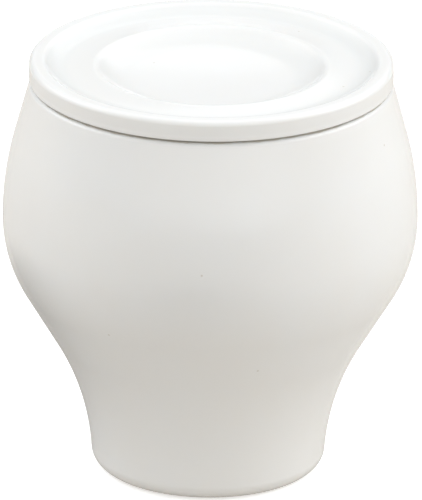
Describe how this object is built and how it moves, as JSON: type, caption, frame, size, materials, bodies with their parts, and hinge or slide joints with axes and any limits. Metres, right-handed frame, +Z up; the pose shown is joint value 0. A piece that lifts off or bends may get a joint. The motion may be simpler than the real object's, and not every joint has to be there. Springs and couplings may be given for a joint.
{
  "type": "lidded porcelain pot",
  "caption": "Bulbous white glazed porcelain pot on a drawn-in foot, with a loose, thick disc lid that has a raised rim and a dished top instead of a knob.",
  "frame": {"origin": "centre of the plane that the foot ring rests on", "axes": "+Z up, along the axis of revolution, from the foot to the lid; the pot is round, so +X and +Y are free"},
  "size_m": [0.0854, 0.0854, 0.0883],
  "materials": {
    "glazed_porcelain": "smooth glossy clear glaze over white porcelain"
  },
  "bodies": {
    "body": {"body": "glazed_porcelain"},
    "lid": {"lid": "glazed_porcelain"}
  },
  "joints": [
    {"name": "lid_lift", "type": "slide", "parent": "body", "child": "lid", "axis": [0, 0, 1], "range_m": [0, 0.06]}
  ]
}
